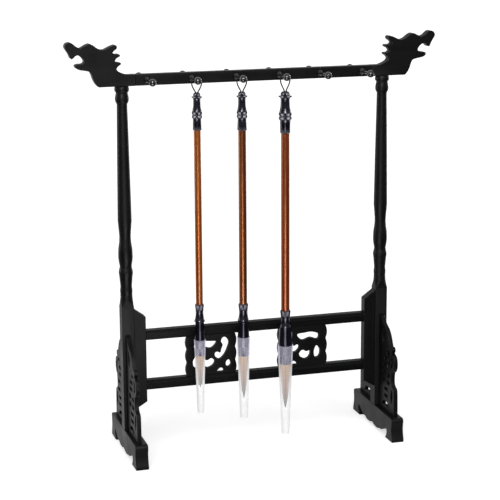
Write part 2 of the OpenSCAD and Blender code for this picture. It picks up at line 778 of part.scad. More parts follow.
module brush_ferrule(b) {
    bore = handle_tenon_part * handle_d(b) + 2 * fit;
    color(horn)
        at_brush(b)
            translate([0, 0, ferrule_top(b)])
                difference() {
                    rotate_extrude()
                        polygon(concat([[0, 0]], ferrule_profile(b), [[0, -ferrule_len(b)]]));
                    translate([0, 0, -handle_tenon_len - fit])
                        cylinder(d = bore, h = handle_tenon_len + past);
                    translate([0, 0, -ferrule_len(b) - past])
                        cylinder(r = tuft_r(b) + fit, h = socket_depth + past);
                }
}

// Rings of one hair strand, from its root to its tip
function strand_rings(b, i) =
    let (thick = strand_part * tuft_r(b) / sqrt(strand_count), turn = i * golden_angle,
        reach = (tuft_r(b) - thick) * sqrt((i + 0.5) / strand_count))
    [for (k = [0 : len(strand_levels) - 1])
        [for (j = [0 : strand_sides - 1])
            let (f = strand_spread[k], a = turn - 360 * j / strand_sides)
            [f * (reach * cos(turn) + thick * cos(a)), f * (reach * sin(turn) + thick * sin(a)),
                k == 0 ? strand_sink : -tuft_len(b) * strand_levels[k]]]];

module brush_tuft(b) {
    root = socket_depth - fit;
    color(hair)
        at_brush(b)
            translate([0, 0, ferrule_top(b) - ferrule_len(b)]) {
                cylinder(r = tuft_r(b), h = root);
                for (i = [0 : strand_count - 1])
                    tube_through(strand_rings(b, i), strand_sides);
            }
}

module brush_cap(b) {
    r = cap_d(b) / 2;
    e = cap_end_d(b) / 2;
    color(clear, 0.5)
        at_brush(b)
            translate([0, 0, ferrule_top(b) - ferrule_len(b) + cap_overlap(b) - cap_len(b)])
                rotate_extrude()
                    polygon([[e - cap_wall, 0], [e, 0], [r, cap_len(b)], [r - cap_wall, cap_len(b)]]);
}

foot(-1);  // foot_left
foot(1);  // foot_right
post(-1);  // post_left
post(1);  // post_right
bracket(-1, -1);  // bracket_front_left
bracket(-1, 1);  // bracket_back_left
bracket(1, -1);  // bracket_front_right
bracket(1, 1);  // bracket_back_right
stile(-1);  // stile_left
stile(1);  // stile_right
stile_dowels();
upper_rail();
lower_rail();
carved_panel(-1);  // carved_panel_left
carved_panel(1);  // carved_panel_right
top_bar();
dragon_head(-1);  // dragon_head_left
dragon_head(1);  // dragon_head_right
for (i = [1 : peg_count]) {
    peg(i, -1);
    peg(i, 1);
}
for (i = [0 : len(brushes) - 1]) {
    brush_loop(brushes[i]);
    brush_finial(brushes[i]);
    brush_handle(brushes[i], handle_colours[i]);
    brush_ferrule(brushes[i]);
    brush_tuft(brushes[i]);
    brush_cap(brushes[i]);
}
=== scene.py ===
import math
import random

import bmesh
import bpy
from mathutils import Matrix, Vector


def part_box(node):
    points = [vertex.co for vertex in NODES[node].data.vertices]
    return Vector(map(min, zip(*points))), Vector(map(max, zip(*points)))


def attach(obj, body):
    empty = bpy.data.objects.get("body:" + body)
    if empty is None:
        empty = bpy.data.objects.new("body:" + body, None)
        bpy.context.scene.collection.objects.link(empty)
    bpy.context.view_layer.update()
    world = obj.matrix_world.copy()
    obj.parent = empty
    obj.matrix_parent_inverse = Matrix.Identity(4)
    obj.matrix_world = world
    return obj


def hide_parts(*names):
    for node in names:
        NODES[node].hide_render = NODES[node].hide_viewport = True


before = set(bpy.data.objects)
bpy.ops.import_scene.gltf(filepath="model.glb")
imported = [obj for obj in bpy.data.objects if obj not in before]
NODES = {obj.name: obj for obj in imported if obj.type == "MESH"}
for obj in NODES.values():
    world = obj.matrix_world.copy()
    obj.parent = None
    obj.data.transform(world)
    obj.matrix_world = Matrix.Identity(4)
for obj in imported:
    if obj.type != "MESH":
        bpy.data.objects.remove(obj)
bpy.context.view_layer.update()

MM = 0.001
BRUSHES = ["small_brush", "medium_brush", "large_brush"]


def new_object(name, data):
    thing = bpy.data.objects.new(name, data)
    bpy.context.collection.objects.link(thing)
    return thing


def new_mesh(name, work, material):
    data = bpy.data.meshes.new(name)
    work.to_mesh(data)
    work.free()
    data.materials.append(material)
    return data


# Camera, fitted to the photograph
CAMERA_AZIMUTH = math.radians(-16.597)
CAMERA_ELEVATION = math.radians(12.863)
CAMERA_ROLL = math.radians(-0.323)
CAMERA_TARGET = Vector((-5.48, 0, 184.94)) * MM
CAMERA_DISTANCE = 1510.03 * MM
CAMERA_LENS = 116.67
SENSOR_WIDTH = 36.0
CLIP_NEAR = 0.05
CLIP_FAR = 200


def make_camera():
    data = bpy.data.cameras.new("camera")
    data.lens = CAMERA_LENS
    data.sensor_width = SENSOR_WIDTH
    data.clip_start = CLIP_NEAR
    data.clip_end = CLIP_FAR
    camera = new_object("camera", data)
    flat = math.cos(CAMERA_ELEVATION)
    back = Vector((
        math.sin(CAMERA_AZIMUTH) * flat,
        -math.cos(CAMERA_AZIMUTH) * flat,
        math.sin(CAMERA_ELEVATION),
    ))
    level = Vector((math.cos(CAMERA_AZIMUTH), math.sin(CAMERA_AZIMUTH), 0))
    up = back.cross(level)
    right = level * math.cos(CAMERA_ROLL) + up * math.sin(CAMERA_ROLL)
    turn = Matrix((right, back.cross(right), back)).transposed()
    place = Matrix.Translation(CAMERA_TARGET + back * CAMERA_DISTANCE)
    camera.matrix_world = place @ turn.to_4x4()
    bpy.context.scene.camera = camera


# Hanging loops: right half from the end to the top, in millimetres across and up from the peg's axis
CORD_D = 1.2 * MM
CORD_ROUNDNESS = 4
LOOP_HALF = [
    (0.7, -15.5), (0.7, -13), (0.9, -11.6), (1.5, -10.2), (2.3, -8.8), (3.1, -7.3), (3.8, -5.8),
    (4.3, -4.2), (4.5, -2.5), (4.4, -0.9), (4, 0.4), (3.1, 1.4), (1.7, 2),
]
LOOP_TOP = (0, 2.2)
LOOP_WIDEST = -2.5
LOOP_STEPS = 4


def curve_point(a, b, c, d, t):
    """Point at the part t of the way from b to c, on a smooth curve through a, b, c and d."""
    return 0.5 * (2 * b + (c - a) * t + (2 * a - 5 * b + 4 * c - d) * t * t
                  + (3 * b - a - 3 * c + d) * t * t * t)


def smooth_line(points, steps):
    last = len(points) - 1
    line = []
    for i in range(last):
        a, b = points[max(i - 1, 0)], points[i]
        c, d = points[i + 1], points[min(i + 2, last)]
        line += [curve_point(a, b, c, d, s / steps) for s in range(steps)]
    return line + [points[-1]]


def loop_points(brush):
    """The loop's route, stretched below its widest place to reach the brush."""
    low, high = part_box(brush + "_loop")
    centre = (low + high) / 2
    peg_z = high.z - CORD_D / 2 - LOOP_TOP[1] * MM
    end = (low.z - peg_z) / MM
    stretch = (end - LOOP_WIDEST) / (LOOP_HALF[0][1] - LOOP_WIDEST)
    half = []
    for x, z in LOOP_HALF:
        if z <= LOOP_WIDEST:
            z = LOOP_WIDEST + (z - LOOP_WIDEST) * stretch
        half.append((x, z))
    route = half + [LOOP_TOP] + [(-x, z) for x, z in reversed(half)]
    points = [Vector((centre.x + x * MM, centre.y, peg_z + z * MM)) for x, z in route]
    return smooth_line(points, LOOP_STEPS)


def make_loop(brush, material):
    points = loop_points(brush)
    data = bpy.data.curves.new(brush + "_loop_cord", "CURVE")
    data.dimensions = "3D"
    data.bevel_depth = CORD_D / 2
    data.bevel_resolution = CORD_ROUNDNESS
    spline = data.splines.new("POLY")
    spline.points.add(len(points) - 1)
    for place, point in zip(spline.points, points):
        place.co = (*point, 1)
    spline.use_smooth = True
    data.materials.append(material)
    loop = new_object(brush + "_loop_cord", data)
    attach(loop, brush)
    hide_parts(brush + "_loop")


# Shader nodes
NOISE_ROUGHNESS = 0.55
# Most of a noise lies between these
NOISE_LOW = 0.3
NOISE_HIGH = 0.7
# Sockets of a mix node: its factor, then those for numbers and those for colours
FACTOR = 0
NUMBER_A, NUMBER_B, NUMBER_OUT = 2, 3, 0
COLOUR_A, COLOUR_B, COLOUR_OUT = 6, 7, 2


def add_node(tree, kind, settings=None, inputs=None):
    node = tree.nodes.new(kind)
    for name, value in (settings or {}).items():
        setattr(node, name, value)
    for name, value in (inputs or {}).items():
        node.inputs[name].default_value = value
    return node


def new_material(name):
    material = bpy.data.materials.new(name)
    material.use_nodes = True
    tree = material.node_tree
    return material, tree, tree.nodes["Principled BSDF"]


def object_height(tree):
    where = add_node(tree, "ShaderNodeTexCoord")
    parts = add_node(tree, "ShaderNodeSeparateXYZ")
    tree.links.new(where.outputs["Object"], parts.inputs["Vector"])
    return parts.outputs["Z"]


def stretched_coordinates(tree, scale):
    """Object coordinates, scaled differently along each axis."""
    where = add_node(tree, "ShaderNodeTexCoord")
    mapping = add_node(tree, "ShaderNodeMapping", inputs={"Scale": scale})
    tree.links.new(where.outputs["Object"], mapping.inputs["Vector"])
    return mapping.outputs["Vector"]


def noise(tree, scale, detail):
    """Noise with so many features to the metre along each axis."""
    node = add_node(tree, "ShaderNodeTexNoise",
                    inputs={"Scale": 1.0, "Detail": detail, "Roughness": NOISE_ROUGHNESS})
    tree.links.new(stretched_coordinates(tree, scale), node.inputs["Vector"])
    return node.outputs["Fac"]


def ramp(tree, factor, stops):
    """Colour ramp from a list of (position, colour)."""
    node = add_node(tree, "ShaderNodeValToRGB")
    elements = node.color_ramp.elements
    while len(elements) < len(stops):
        elements.new(0.5)
    for element, (position, colour) in zip(elements, stops):
        element.position = position
        element.color = (*colour, 1)
    tree.links.new(factor, node.inputs["Fac"])
    return node.outputs["Color"]


def spread(tree, value, low, high, start=NOISE_LOW, end=NOISE_HIGH):
    """Low where the value is start, high where it is end, a straight slope between and level beyond."""
    node = add_node(tree, "ShaderNodeMapRange",
                    inputs={"From Min": start, "From Max": end, "To Min": low, "To Max": high})
    tree.links.new(value, node.inputs["Value"])
    return node.outputs["Result"]


def bump(tree, shader, height, strength, distance):
    node = add_node(tree, "ShaderNodeBump", inputs={"Strength": strength, "Distance": distance})
    tree.links.new(height, node.inputs["Height"])
    tree.links.new(node.outputs["Normal"], shader.inputs["Normal"])


def mixed(tree, factor, a, b):
    """From colour a to colour b by a factor; each colour is a socket or a plain colour."""
    node = add_node(tree, "ShaderNodeMix", {"data_type": "RGBA"})
    tree.links.new(factor, node.inputs[FACTOR])
    for index, colour in ((COLOUR_A, a), (COLOUR_B, b)):
        if isinstance(colour, tuple):
            node.inputs[index].default_value = (*colour, 1)
        else:
            tree.links.new(colour, node.inputs[index])
    return node.outputs[COLOUR_OUT]


def multiplied(tree, a, b):
    node = add_node(tree, "ShaderNodeMix", {"data_type": "RGBA", "blend_type": "MULTIPLY"}, {FACTOR: 1.0})
    tree.links.new(a, node.inputs[COLOUR_A])
    tree.links.new(b, node.inputs[COLOUR_B])
    return node.outputs[COLOUR_OUT]


def blended(tree, factor, a, b):
    """From number a to number b by a factor."""
    node = add_node(tree, "ShaderNodeMix")
    tree.links.new(factor, node.inputs[FACTOR])
    tree.links.new(a, node.inputs[NUMBER_A])
    tree.links.new(b, node.inputs[NUMBER_B])
    return node.outputs[NUMBER_OUT]


def added(tree, a, b):
    node = add_node(tree, "ShaderNodeMath", {"operation": "ADD", "use_clamp": True})
    tree.links.new(a, node.inputs[0])
    tree.links.new(b, node.inputs[1])
    return node.outputs[0]


# Black lacquer on the rack
GRAIN_ACROSS = 170
GRAIN_ALONG = 9
DULL_PATCHES = (35, 35, 35)
LACQUER_TONES = [(0.35, (0.0025, 0.0025, 0.0027)), (0.7, (0.0055, 0.0055, 0.006))]
WORN_TONE = (0.02, 0.02, 0.021)
WORN_MOST = 0.5
WORN_START = 0.53
WORN_END = 0.62


def lacquer(name, grain, specular=0.06):
    """Satin black lacquer over wood, with its grain along one axis and its edges a little worn."""
    material, tree, shader = new_material(name)
    scale = [GRAIN_ACROSS, GRAIN_ACROSS, GRAIN_ACROSS]
    scale[grain] = GRAIN_ALONG
    fibre = noise(tree, scale, 6)
    patch = noise(tree, DULL_PATCHES, 3)
    edge = add_node(tree, "ShaderNodeNewGeometry").outputs["Pointiness"]
    worn = spread(tree, edge, 0, WORN_MOST, WORN_START, WORN_END)
    colour = mixed(tree, worn, ramp(tree, fibre, LACQUER_TONES), WORN_TONE)
    tree.links.new(colour, shader.inputs["Base Color"])
    tree.links.new(spread(tree, patch, 0.36, 0.49), shader.inputs["Roughness"])
    shader.inputs["Specular IOR Level"].default_value = specular
    bump(tree, shader, fibre, 0.25, 0.06 * MM)
    return material


PEG_GRAIN = (260, 20, 260)
PEG_TONES = [(0.35, (0.003, 0.003, 0.0035)), (0.7, (0.008, 0.008, 0.009))]


def peg_gloss():
    """Polished black lacquer, with its grain along the peg."""
    material, tree, shader = new_material("peg_gloss")
    fibre = noise(tree, PEG_GRAIN, 4)
    tree.links.new(ramp(tree, fibre, PEG_TONES), shader.inputs["Base Color"])
    tree.links.new(spread(tree, fibre, 0.16, 0.26), shader.inputs["Roughness"])
    shader.inputs["Specular IOR Level"].default_value = 0.42
    bump(tree, shader, fibre, 0.1, 0.03 * MM)
    return material


DOWEL_GRAIN = (20, 300, 300)
DOWEL_TONES = [(0.35, (0.38, 0.24, 0.12)), (0.7, (0.6, 0.43, 0.25))]


def bare_wood():
    material, tree, shader = new_material("dowel_wood")
    fibre = noise(tree, DOWEL_GRAIN, 5)
    tree.links.new(ramp(tree, fibre, DOWEL_TONES), shader.inputs["Base Color"])
    shader.inputs["Roughness"].default_value = 0.7
    bump(tree, shader, fibre, 0.2, 0.05 * MM)
    return material


# Horn of the finials and ferrules
HORN_GRAIN = (600, 600, 45)
HORN_TONES = [(0.35, (0.0025, 0.002, 0.005)), (0.72, (0.008, 0.007, 0.014))]
HORN_PAINTED_HIGHLIGHT = (0.6, 0.58, 0.66)
HORN_TINT = (0.85, 0.82, 1, 1)
# Name of the point attribute that holds the painted highlight on the crowns of carved petals
CROWN_HIGHLIGHT = "crown"


def horn():
    """Polished dark horn with a cool violet cast, and a painted highlight on the crowns of its carved
    petals.
    """
    material, tree, shader = new_material("polished_horn")
    streak = noise(tree, HORN_GRAIN, 5)
    crown = add_node(tree, "ShaderNodeAttribute", {"attribute_name": CROWN_HIGHLIGHT}).outputs["Fac"]
    # Painted highlight: the crowns of the petals are painted paler
    colour = mixed(tree, crown, ramp(tree, streak, HORN_TONES), HORN_PAINTED_HIGHLIGHT)
    tree.links.new(colour, shader.inputs["Base Color"])
    tree.links.new(spread(tree, streak, 0.12, 0.2), shader.inputs["Roughness"])
    shader.inputs["Specular IOR Level"].default_value = 0.16
    shader.inputs["Specular Tint"].default_value = HORN_TINT
    bump(tree, shader, streak, 0.1, 0.02 * MM)
    return material


# Lacquer on the handles: dark, middle and light tone of each
HANDLE_TONES = {
    "small_brush": ((0.12, 0.024, 0.004), (0.34, 0.09, 0.016), (0.46, 0.145, 0.032)),
    "medium_brush": ((0.06, 0.013, 0.003), (0.17, 0.045, 0.011), (0.28, 0.085, 0.022)),
    "large_brush": ((0.06, 0.009, 0.002), (0.2, 0.035, 0.007), (0.31, 0.07, 0.016)),
}
HANDLE_FIBRE = (900, 900, 14)
HANDLE_BANDS = (260, 260, 5)
FIBRE_SHADES = [(0.35, (0.55, 0.5, 0.48)), (0.65, (1.1, 1.08, 1.05))]
HANDLE_TINT = (1, 0.66, 0.44, 1)


def handle_lacquer(name, dark, middle, light):
    """Lacquered cane with fine streaks along its length."""
    material, tree, shader = new_material(name)
    fibre = noise(tree, HANDLE_FIBRE, 5)
    band = noise(tree, HANDLE_BANDS, 3)
    tone = ramp(tree, band, [(0.3, dark), (0.5, middle), (0.72, light)])
    shade = ramp(tree, fibre, FIBRE_SHADES)
    tree.links.new(multiplied(tree, tone, shade), shader.inputs["Base Color"])
    tree.links.new(spread(tree, fibre, 0.2, 0.3), shader.inputs["Roughness"])
    shader.inputs["Metallic"].default_value = 0.25
    shader.inputs["Specular IOR Level"].default_value = 0.4
    shader.inputs["Specular Tint"].default_value = HANDLE_TINT
    bump(tree, shader, fibre, 0.1, 0.03 * MM)
    return material


CORD_TONES = [(0.2, (0.003, 0.003, 0.003)), (0.8, (0.011, 0.0105, 0.0105))]


def cord_fibre():
    """Black twisted cord: slanted plies as a fine wave."""
    material, tree, shader = new_material("loop_cord")
    wave = add_node(tree, "ShaderNodeTexWave", {"bands_direction": "DIAGONAL"},
                    {"Scale": 900.0, "Distortion": 2.0, "Detail": 2.0})
    tree.links.new(stretched_coordinates(tree, (1, 1, 1)), wave.inputs["Vector"])
    ply = wave.outputs["Fac"]
    tree.links.new(ramp(tree, ply, CORD_TONES), shader.inputs["Base Color"])
    shader.inputs["Roughness"].default_value = 0.7
    shader.inputs["Specular IOR Level"].default_value = 0.1
    bump(tree, shader, ply, 0.6, 0.08 * MM)
    return material


# Hair: tones from the root to the tip, and shades from strand to strand
HAIR_TONES = [
    (0.0, (0.58, 0.33, 0.165)), (0.5, (0.46, 0.275, 0.165)),
    (0.78, (0.3, 0.215, 0.17)), (1.0, (0.15, 0.13, 0.12)),
]
STRAND_SHADES = [(0.0, (0.45, 0.43, 0.4)), (0.5, (0.95, 0.95, 0.95)), (1.0, (1.4, 1.38, 1.35))]
HAIR_FIBRE = (2500, 2500, 60)


def hair(name, root, tip):
    """Brush hair: tan at the root, grey toward the tip, each strand a little different."""
    material, tree, shader = new_material(name)
    down = spread(tree, object_height(tree), 0, 1, root, tip)
    tone = ramp(tree, down, HAIR_TONES)
    strand = add_node(tree, "ShaderNodeNewGeometry").outputs["Random Per Island"]
    shade = ramp(tree, strand, STRAND_SHADES)
    tree.links.new(multiplied(tree, tone, shade), shader.inputs["Base Color"])
    fibre = noise(tree, HAIR_FIBRE, 3)
    tree.links.new(spread(tree, fibre, 0.5, 0.7), shader.inputs["Roughness"])
    bump(tree, shader, fibre, 0.3, 0.03 * MM)
    return material


# Clear caps
CAP_STREAKS = (900, 900, 25)
CAP_SCUFFS = (480, 480, 70)
CAP_RUBBING = (650, 650, 40)
CAP_CLEAR_TONE = (0.93, 0.93, 0.935)
CAP_EMPTY_TONE = (0.87, 0.87, 0.875)
CAP_GRIP_TONE = (0.82, 0.8, 0.97)
# Painted glow: the caps give off light of their own, in place of the light from behind that a milky wall
# passes on
CAP_PAINTED_GLOW = 0.25
# Half the height over which one zone turns into the next
GRIP_TURN = 0.5 * MM
BAND_TURN = 0.4 * MM
# Height below the hair over which the wall turns milky
EMPTY_TURN = 4 * MM


def cap_haze(tree, z, gripped, empty, streak, middle):
    """How milky the wall is: scuffed above and rubbed below where it grips, and milky in the empty end."""
    scuff = noise(tree, CAP_SCUFFS, 3)
    rub = noise(tree, CAP_RUBBING, 2)
    upper = spread(tree, z, 0, 1, middle - BAND_TURN, middle + BAND_TURN)
    clear = blended(tree, empty, spread(tree, streak, 0.11, 0.19), spread(tree, streak, 0.3, 0.45))
    grip = blended(tree, upper, spread(tree, rub, 0.0, 0.38), spread(tree, scuff, 0.11, 0.23))
    return blended(tree, gripped, clear, grip)


def cap_rim(tree, apart):
    """How milky the wall is at a slant: in a narrow rim beside the ferrule and a wide one below it."""
    slant = add_node(tree, "ShaderNodeLayerWeight", inputs={"Blend": 0.5}).outputs["Facing"]
    narrow = spread(tree, slant, 0.0, 0.5, 0.4, 0.8)
    wide = spread(tree, slant, 0.0, 0.6, 0.1, 0.5)
    return blended(tree, apart, narrow, wide)


def clear_cap(name, cap_top, ferrule_end, hair_end):
    """Thin plastic: scuffed over the ferrule, clear round the hair and milky in the empty end, with a
    painted glow in its own tone.
    """
    material, tree, shader = new_material(name)
    z = object_height(tree)
    gripped = spread(tree, z, 0, 1, ferrule_end - GRIP_TURN, ferrule_end + GRIP_TURN)
    apart = spread(tree, z, 1, 0, (ferrule_end + hair_end) / 2, ferrule_end)
    empty = spread(tree, z, 1, 0, hair_end - EMPTY_TURN, hair_end)
    streak = noise(tree, CAP_STREAKS, 3)
    haze = cap_haze(tree, z, gripped, empty, streak, (cap_top + ferrule_end) / 2)
    tree.links.new(added(tree, haze, cap_rim(tree, apart)), shader.inputs["Alpha"])
    below = mixed(tree, empty, CAP_CLEAR_TONE, CAP_EMPTY_TONE)
    tone = mixed(tree, gripped, below, CAP_GRIP_TONE)
    tree.links.new(tone, shader.inputs["Base Color"])
    # Painted glow in the wall's own tone
    tree.links.new(tone, shader.inputs["Emission Color"])
    shader.inputs["Emission Strength"].default_value = CAP_PAINTED_GLOW
    tree.links.new(spread(tree, streak, 0.25, 0.4), shader.inputs["Roughness"])
    shader.inputs["Specular IOR Level"].default_value = 0.4
    bump(tree, shader, streak, 0.1, 0.02 * MM)
    return material


# Carried-over solids: softened edges and smooth turnings
EDGE_ANGLE = math.radians(32)
EDGE_STEPS = 3
WELD_GAP = 0.002 * MM
FINE_EDGE = 0.4 * MM
SOFT_EDGE = 0.5 * MM


def set_material(node, material):
    data = NODES[node].data
    data.materials.clear()
    data.materials.append(material)


def soften(node, width):
    """Smooths a carried-over solid and rounds its sharp edges, without changing its own mesh."""
    solid = NODES[node]
    for polygon in solid.data.polygons:
        polygon.use_smooth = True
    weld = solid.modifiers.new("weld", "WELD")
    weld.merge_threshold = WELD_GAP
    if width:
        rounding = solid.modifiers.new("rounding", "BEVEL")
        rounding.width = width
        rounding.segments = EDGE_STEPS
        rounding.limit_method = "ANGLE"
        rounding.angle_limit = EDGE_ANGLE
        rounding.use_clamp_overlap = False
        rounding.loop_slide = False
    weighted = solid.modifiers.new("weighted", "WEIGHTED_NORMAL")
    weighted.keep_sharp = False


def dress_rack():
    along_x = lacquer("lacquer_along_x", 0)
    along_z = lacquer("lacquer_along_z", 2)
    rails = lacquer("lacquer_rails", 0, specular=0.04)
    feet = lacquer("lacquer_feet", 1, specular=0.075)
    gloss = peg_gloss()
    for side in ("left", "right"):
        for node, material, width in (
            ("foot_", feet, SOFT_EDGE),
            ("post_", along_z, FINE_EDGE),
            ("stile_", along_z, FINE_EDGE),
            ("carved_panel_", along_x, FINE_EDGE),
            ("dragon_head_", along_x, SOFT_EDGE),
            ("bracket_front_", along_z, FINE_EDGE),
            ("bracket_back_", along_z, FINE_EDGE),
        ):
            set_material(node + side, material)
            soften(node + side, width)
    for node, material in (("upper_rail", rails), ("lower_rail", rails), ("top_bar", along_x)):
        set_material(node, material)
        soften(node, FINE_EDGE)
    set_material("stile_dowels", bare_wood())
    for node in NODES:
        if node.startswith("peg_"):
            set_material(node, gloss)
            soften(node, 0)


# Brush pieces
def mesh_object(name, work, material, body, replaced):
    data = new_mesh(name, work, material)
    for polygon in data.polygons:
        polygon.use_smooth = True
    piece = new_object(name, data)
    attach(piece, body)
    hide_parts(replaced)


def bridge_rings(work, rings):
    """Joins rings of points, each with the same count, into a closed skin."""
    loops = [[work.verts.new(point) for point in ring] for ring in rings]
    count = len(loops[0])
    for a, b in zip(loops, loops[1:]):
        for i in range(count):
            j = (i + 1) % count
            work.faces.new((a[i], a[j], b[j], b[i]))
    work.faces.new(list(reversed(loops[0])))
    work.faces.new(loops[-1])


PETALS = 6
HALF_PETAL = math.pi / PETALS
# Bearing of the first groove, toward the photograph's view, which also sets where the painted highlights on
# the crowns fall
PETALS_FACE = CAMERA_AZIMUTH
TURN_SEGMENTS = 96
TURN_STEPS = 5
HIGHLIGHT_SHARPNESS = 5


def petal_dip(angle):
    """1 in the groove between two petals and 0 on a petal's crown."""
    return 1 - abs(math.sin(PETALS * angle / 2))


def carved_turning(name, brush, material, centre, rows, replaced):
    """Turned piece from rows of radius, height, depth of the petals, painted highlight on their crowns and
    turn.
    """
    work = bmesh.new()
    crown = work.verts.layers.float.new(CROWN_HIGHLIGHT)
    angles = [2 * math.pi * i / TURN_SEGMENTS for i in range(TURN_SEGMENTS)]
    rings = []
    painted_highlight = []
    for radius, z, dip, highlight_strength, turn in rows:
        ring = []
        for angle in angles:
            depth = petal_dip(angle + turn)
            reach = radius * (1 - dip * depth)
            facing = angle + PETALS_FACE
            across = centre.x + reach * math.sin(facing)
            ring.append(Vector((across, centre.y - reach * math.cos(facing), z)))
            # Painted highlight, strongest on the crown of each petal
            painted_highlight.append(highlight_strength * (1 - depth) ** HIGHLIGHT_SHARPNESS)
        rings.append(ring)
    bridge_rings(work, rings)
    work.verts.ensure_lookup_table()
    for vertex, value in zip(work.verts, painted_highlight):
        vertex[crown] = value
    bmesh.ops.recalc_face_normals(work, faces=work.faces)
    mesh_object(name, work, material, brush, replaced)


def plain_row(radius, z):
    return (radius, z, 0, 0, 0)


def smooth_runs(runs):
    """Smooth rows through each run, with a crease between one run and the next."""
    rows = []
    for turn, run in runs:
        rows += [(*row, turn) for row in smooth_line([Vector(row) for row in run], TURN_STEPS)]
    return rows


# Turn of the petals, then rows of radius, height below the top, depth of the petals and painted highlight on
# their
# crowns: radius and height are parts of the flange radius and of the finial's length
FINIAL_RUNS = [
    (0, [(0.45, 0.02, 0, 0), (0.54, 0.035, 0.1, 0.1), (0.64, 0.062, 0.18, 0.5), (0.66, 0.09, 0.16, 0.3),
         (0.6, 0.112, 0.06, 0)]),
    (0, [(0.6, 0.112, 0.06, 0), (0.82, 0.115, 0.12, 0.5), (1, 0.124, 0.18, 1), (0.98, 0.136, 0.18, 0.5),
         (0.8, 0.152, 0, 0)]),
    (HALF_PETAL, [(0.8, 0.152, 0, 0), (0.7, 0.18, 0.06, 0.5), (0.67, 0.21, 0.03, 0.2), (0.66, 0.25, 0, 0),
                  (0.69, 0.37, 0, 0), (0.79, 0.45, 0, 0), (0.88, 0.49, 0.06, 0.5), (0.91, 0.512, 0, 0)]),
    (0, [(0.91, 0.512, 0, 0), (0.95, 0.538, 0.18, 1), (0.91, 0.566, 0.18, 0.7), (0.8, 0.592, 0.06, 0)]),
    (0, [(0.8, 0.592, 0.06, 0), (0.9, 0.612, 0.16, 0.6), (0.95, 0.642, 0.18, 1), (0.88, 0.672, 0, 0)]),
    (HALF_PETAL, [(0.88, 0.672, 0, 0), (0.8, 0.69, 0.05, 0.6), (0.77, 0.72, 0.02, 0.2), (0.76, 0.74, 0, 0)]),
]
# Skirt over the handle: radius as a part of the way from the carved band to the skirt's end
SKIRT_START = 0.76
SKIRT_FOOT = 0.985
SKIRT_RUN = (0, [(0, 0.74, 0, 0), (0.35, 0.79, 0, 0), (0.7, 0.87, 0.02, 0), (1, 0.95, 0.06, 0.15),
                 (1, SKIRT_FOOT, 0.1, 0.3)])
FINIAL_LIP = 0.75 * MM
CORD_HOLE_R = 1.9 * MM
CORD_HOLE_DEPTH = 4.4 * MM
HANDLE_ROOM = 0.05 * MM
# Mouth of the cord's hole below the top, and the bore above the foot, as parts of the finial's length
HOLE_MOUTH = 0.025
BORE_MOUTH = 0.012
BORE_END = 0.1


def node_radius(node):
    low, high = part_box(node)
    return (high.x - low.x) / 2


def make_finial(brush, material):
    """Button, flange, waist and carved band, with a skirt over the handle."""
    low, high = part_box(brush + "_finial")
    radius = node_radius(brush + "_finial")
    handle_r = node_radius(brush + "_handle")
    length = (high.z - low.z) / SKIRT_FOOT
    top = low.z + length
    start_r = SKIRT_START * radius
    end_r = handle_r + FINIAL_LIP
    bore_r = handle_r + HANDLE_ROOM
    rows = [plain_row(CORD_HOLE_R, top - CORD_HOLE_DEPTH), plain_row(CORD_HOLE_R, top - HOLE_MOUTH * length)]
    for r, z, dip, painted_highlight, turn in smooth_runs(FINIAL_RUNS):
        rows.append((r * radius, top - z * length, dip, painted_highlight, turn))
    for part, z, dip, painted_highlight, turn in smooth_runs([SKIRT_RUN]):
        rows.append((start_r + part * (end_r - start_r), top - z * length, dip, painted_highlight, turn))
    rows += [plain_row(bore_r, low.z + BORE_MOUTH * length), plain_row(bore_r, low.z + BORE_END * length)]
    carved_turning(brush + "_carved_finial", brush, material, (low + high) / 2, rows, brush + "_finial")


# Ferrule: sizes in millimetres, heights below its top
FERRULE_LIP = 0.7
RING_HEIGHT = -16
RING_BASE = 2.9
RING_SHARE = 0.25
NECK_SHARE = 0.9
CAP_WALL = 0.8
SOCKET_WALL = 0.45


def make_ferrule(brush, material):
    """Petals under the handle, a thin ring, and a plain flare into the cap."""
    low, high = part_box(brush + "_ferrule")
    _, cap_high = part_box(brush + "_cap")
    lip = node_radius(brush + "_handle") / MM + FERRULE_LIP
    seat = node_radius(brush + "_cap") / MM - CAP_WALL
    ring = RING_SHARE * seat + RING_SHARE * lip + RING_BASE
    neck = NECK_SHARE * seat
    mouth = (cap_high.z - high.z) / MM
    end = (low.z - high.z) / MM
    end_r = node_radius(brush + "_tuft") / MM + SOCKET_WALL
    level = RING_HEIGHT
    # Turn of the petals, then rows of radius, height, depth of the petals and painted highlight on their
    # crowns
    runs = [
        (0, [(lip - 0.9, 0, 0, 0), (lip - 0.1, 0, 0.06, 0)]),
        (0, [(lip - 0.1, 0, 0.06, 0), (lip + 0.2, -0.8, 0.12, 0.3), (lip + 0.2, -2, 0.14, 0.6),
             (lip - 0.05, -3.6, 0.1, 0.4), (lip - 0.25, -6, 0, 0)]),
        (HALF_PETAL, [(lip - 0.25, -6, 0, 0), (lip - 0.23, -8, 0.05, 0.35), (lip - 0.2, -10, 0.03, 0.1),
                      (lip + 0.1, level + 3, 0, 0), (ring - 0.2, level + 0.5, 0, 0)]),
        (0, [(ring, level + 0.2, 0, 0), (ring, level - 0.2, 0, 0)]),
        (0, [(neck - 0.1, level - 1.2, 0, 0), (neck - 0.1, level - 3, 0, 0), (neck + 0.3, level - 10, 0, 0),
             (seat, mouth, 0, 0)]),
        (0, [(seat, mouth, 0, 0), (end_r, end, 0, 0)]),
    ]
    rows = [(r * MM, high.z + z * MM, dip, painted_highlight, turn) for r, z, dip, painted_highlight, turn in smooth_runs(runs)]
    carved_turning(brush + "_carved_ferrule", brush, material, (low + high) / 2, rows, brush + "_ferrule")


